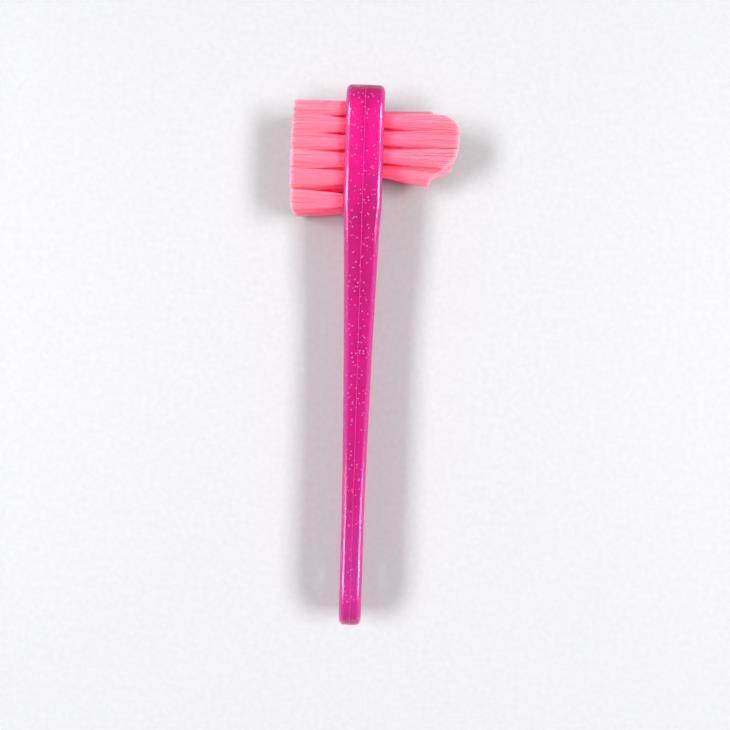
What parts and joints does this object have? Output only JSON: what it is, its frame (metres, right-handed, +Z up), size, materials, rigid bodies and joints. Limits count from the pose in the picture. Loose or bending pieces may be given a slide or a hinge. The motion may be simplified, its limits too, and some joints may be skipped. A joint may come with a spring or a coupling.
{
  "type": "retainer cleaning brush",
  "caption": "Two-sided brush for retainers and dentures: straight tapered handle with a hang hole, flat-trimmed bristles on one face of the head and pointed ones on the other.",
  "frame": {"origin": "under the middle of the whole brush's box, on the plane that it rests on when it lies on its narrow edge", "axes": "+X towards the pointed bristles, +Y along the handle from its hang hole to its head, +Z up across the handle's width"},
  "size_m": [0.0304, 0.1, 0.013],
  "materials": {
    "handle_plastic": "translucent magenta moulding with fine silver-pink glitter in it, glossy",
    "bristle_nylon": "coral pink nylon filaments, satin",
    "anchor_metal": "bright flat wire, cut to length"
  },
  "bodies": {
    "root": {"handle": "handle_plastic", "flat_tuft_r1_c1": "bristle_nylon", "flat_tuft_r1_c2": "bristle_nylon", "flat_tuft_r1_c3": "bristle_nylon", "flat_tuft_r2_c1": "bristle_nylon", "flat_tuft_r2_c2": "bristle_nylon", "flat_tuft_r2_c3": "bristle_nylon", "flat_tuft_r3_c1": "bristle_nylon", "flat_tuft_r3_c2": "bristle_nylon", "flat_tuft_r3_c3": "bristle_nylon", "flat_tuft_r4_c1": "bristle_nylon", "flat_tuft_r4_c2": "bristle_nylon", "flat_tuft_r4_c3": "bristle_nylon", "flat_tuft_r5_c1": "bristle_nylon", "flat_tuft_r5_c2": "bristle_nylon", "flat_tuft_r5_c3": "bristle_nylon", "flat_tuft_r6_c1": "bristle_nylon", "flat_tuft_r6_c2": "bristle_nylon", "flat_tuft_r6_c3": "bristle_nylon", "pointed_tuft_r1_c1": "bristle_nylon", "pointed_tuft_r2_c1": "bristle_nylon", "pointed_tuft_r2_c2": "bristle_nylon", "pointed_tuft_r3_c1": "bristle_nylon", "pointed_tuft_r4_c1": "bristle_nylon", "pointed_tuft_r4_c2": "bristle_nylon", "pointed_tuft_r5_c1": "bristle_nylon", "pointed_tuft_r6_c1": "bristle_nylon", "pointed_tuft_r6_c2": "bristle_nylon", "pointed_tuft_r7_c1": "bristle_nylon", "flat_anchor_r1_c1": "anchor_metal", "flat_anchor_r1_c2": "anchor_metal", "flat_anchor_r1_c3": "anchor_metal", "flat_anchor_r2_c1": "anchor_metal", "flat_anchor_r2_c2": "anchor_metal", "flat_anchor_r2_c3": "anchor_metal", "flat_anchor_r3_c1": "anchor_metal", "flat_anchor_r3_c2": "anchor_metal", "flat_anchor_r3_c3": "anchor_metal", "flat_anchor_r4_c1": "anchor_metal", "flat_anchor_r4_c2": "anchor_metal", "flat_anchor_r4_c3": "anchor_metal", "flat_anchor_r5_c1": "anchor_metal", "flat_anchor_r5_c2": "anchor_metal", "flat_anchor_r5_c3": "anchor_metal", "flat_anchor_r6_c1": "anchor_metal", "flat_anchor_r6_c2": "anchor_metal", "flat_anchor_r6_c3": "anchor_metal", "pointed_anchor_r1_c1": "anchor_metal", "pointed_anchor_r2_c1": "anchor_metal", "pointed_anchor_r2_c2": "anchor_metal", "pointed_anchor_r3_c1": "anchor_metal", "pointed_anchor_r4_c1": "anchor_metal", "pointed_anchor_r4_c2": "anchor_metal", "pointed_anchor_r5_c1": "anchor_metal", "pointed_anchor_r6_c1": "anchor_metal", "pointed_anchor_r6_c2": "anchor_metal", "pointed_anchor_r7_c1": "anchor_metal"}
  },
  "joints": []
}
